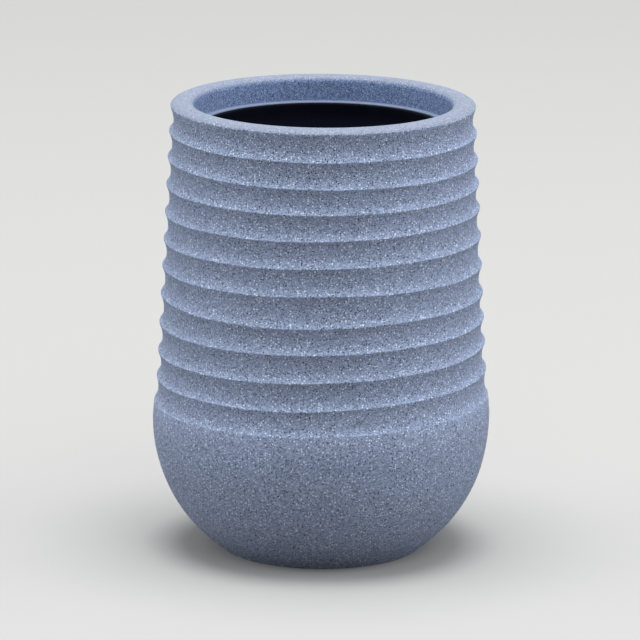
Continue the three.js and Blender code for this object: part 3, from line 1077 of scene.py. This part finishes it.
def gridPlastic():
    g = gridGrey
    paint = newPaint("gridPlastic")
    flow = paint.grain(g["flowSize"], detail=3.0)
    silt = paint.ramp(paint.grain(g["siltSize"], detail=4.0), *g["siltSpan"])
    colour = paint.mix(flow, g["dark"], g["light"])
    colour = paint.mix(silt * g["siltShare"], colour, g["silt"])
    rough = paint.ramp(flow, *noiseSpan, *g["rough"]) + silt * g["siltRough"]
    paint.finish(colour, rough, paint.grain(g["fineSize"]), g["relief"])
    return paint


# Drain plug and its washer

plugLow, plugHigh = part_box("drain_plug")
washerLow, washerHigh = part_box("plug_washer")
plug = {
    "headRadius": plugHigh.x,
    "headHeight": 4 * mm,
    "headFloor": 1.6 * mm,
    "headWall": 4 * mm,
    "headRound": 1.2 * mm,
    "headTopRound": 0.6 * mm,
    "cupRound": 0.8 * mm,
    "cupEdgeRound": 0.6 * mm,
    "stemRadius": 10.7 * mm,
    "stemRootRound": 0.4 * mm,
    "stemChamfer": 1.5 * mm,
    "pullWidth": 4 * mm,
    "pullRound": 0.6 * mm,
    "turnSteps": 72,
}
washer = {
    "bore": 11 * mm,
    "edgeRound": 0.5 * mm,
    "lip": 0.25 * mm,
    "lipWidth": 2 * mm,
    "lipRound": 0.4 * mm,
    "roundSteps": 3,
    "turnSteps": 72,
}


def drainPlug():
    p = plug
    headTop = plugLow.z + p["headHeight"]
    cupTop = headTop - p["headFloor"]
    cupRadius = p["headRadius"] - p["headWall"]
    piece = turnedPiece("drainPlug", softened([
        (0, cupTop, 0),
        (cupRadius, cupTop, p["cupRound"]),
        (cupRadius, plugLow.z, p["cupEdgeRound"]),
        (p["headRadius"], plugLow.z, p["headRound"]),
        (p["headRadius"], headTop, p["headTopRound"]),
        (p["stemRadius"], headTop, p["stemRootRound"]),
        (p["stemRadius"], plugHigh.z, p["stemChamfer"]),
        (0, plugHigh.z, 0),
    ]), p["turnSteps"])
    bpy.ops.object.select_all(action="DESELECT")
    pullHeight = cupTop + p["headFloor"] / 2 - plugLow.z
    bpy.ops.mesh.primitive_cube_add(size=1, location=(0, 0, plugLow.z + pullHeight / 2))
    bpy.context.object.scale = (cupRadius + p["headRadius"], p["pullWidth"], pullHeight)
    pullBar = newPiece("pullBar")
    softEdges(pullBar, p["pullRound"])
    joinInto(piece, [pullBar], "UNION")
    finishCuts(piece, angle=40)
    return piece


def plugWasher():
    w = washer
    middle, lipSide = (w["bore"] + washerHigh.x) / 2, w["lipWidth"] / 2
    piece = turnedPiece("plugWasher", softened([
        (w["bore"], washerLow.z, w["edgeRound"]),
        (washerHigh.x, washerLow.z, w["edgeRound"]),
        (washerHigh.x, washerHigh.z, w["edgeRound"]),
        (middle + lipSide, washerHigh.z - w["lip"], w["lipRound"]),
        (middle, washerHigh.z, w["lipRound"]),
        (middle - lipSide, washerHigh.z - w["lip"], w["lipRound"]),
        (w["bore"], washerHigh.z, w["edgeRound"]),
    ], w["roundSteps"]), w["turnSteps"])
    smoothPiece(piece, angle=40)
    return piece


rubbers = {
    "plugRubber": {"clean": rgb(0.010, 0.010, 0.011), "dusty": rgb(0.024, 0.023, 0.022)},
    "washerRubber": {"clean": rgb(0.022, 0.022, 0.023), "dusty": rgb(0.045, 0.044, 0.042)},
}
rubberDust = {
    "dustSize": 5 * mm,
    "dustSpan": (0.45, 0.8),
    "dustRough": 0.15,
    "fineSize": 0.5 * mm,
    "roughness": 0.7,
    "relief": 0.05 * mm,
}


def rubber(name):
    d = rubberDust
    paint = newPaint(name)
    dust = paint.ramp(paint.grain(d["dustSize"], detail=4.0), *d["dustSpan"])
    colour = paint.mix(dust, rubbers[name]["clean"], rubbers[name]["dusty"])
    rough = d["roughness"] + dust * d["dustRough"]
    paint.finish(colour, rough, paint.grain(d["fineSize"]), d["relief"])
    return paint


# The whole planter

photoCamera()
paleFloor()
evenSky()
softLamps()
print("stage set")

shellPiece = outerShell()
shellPaints = stoneFleck(), moulding("trimmedLedge"), moulding("mouldedInside")
dress(shellPiece, "shell", "outer_shell", "stone_effect_shell", *shellPaints)
print("outer shell turned,", len(shellPiece.data.polygons), "faces")

linerPiece = plantingLiner()
dress(linerPiece, "liner", "inner_liner", "black_liner", blackLiner())
print("liner turned,", len(linerPiece.data.polygons), "faces")

wirePaint, gripPaint = galvanisedWire(), gripPlastic()
leftBail, leftGrip = bailWire(), gripSleeve()
rightBail = copyAside(leftBail, "rightBail", 2 * pivotOut)
rightGrip = copyAside(leftGrip, "rightGrip", 2 * pivotOut)
dress(leftBail, "left_handle", "left_bail", "bail_wire", wirePaint)
dress(leftGrip, "left_handle", "left_grip", "bail_grip", gripPaint)
dress(rightBail, "right_handle", "right_bail", "bail_wire", wirePaint)
dress(rightGrip, "right_handle", "right_grip", "bail_grip", gripPaint)
print("bails bent")

dress(drainageGrid(), "grid", "drainage_grid", "grid_plastic", gridPlastic())
dress(drainPlug(), "plug", "drain_plug", "plug_rubber", rubber("plugRubber"))
dress(plugWasher(), "plug", "plug_washer", "washer_rubber", rubber("washerRubber"))
print("grid, plug and washer made")

bpy.context.scene.view_settings.view_transform = "Standard"
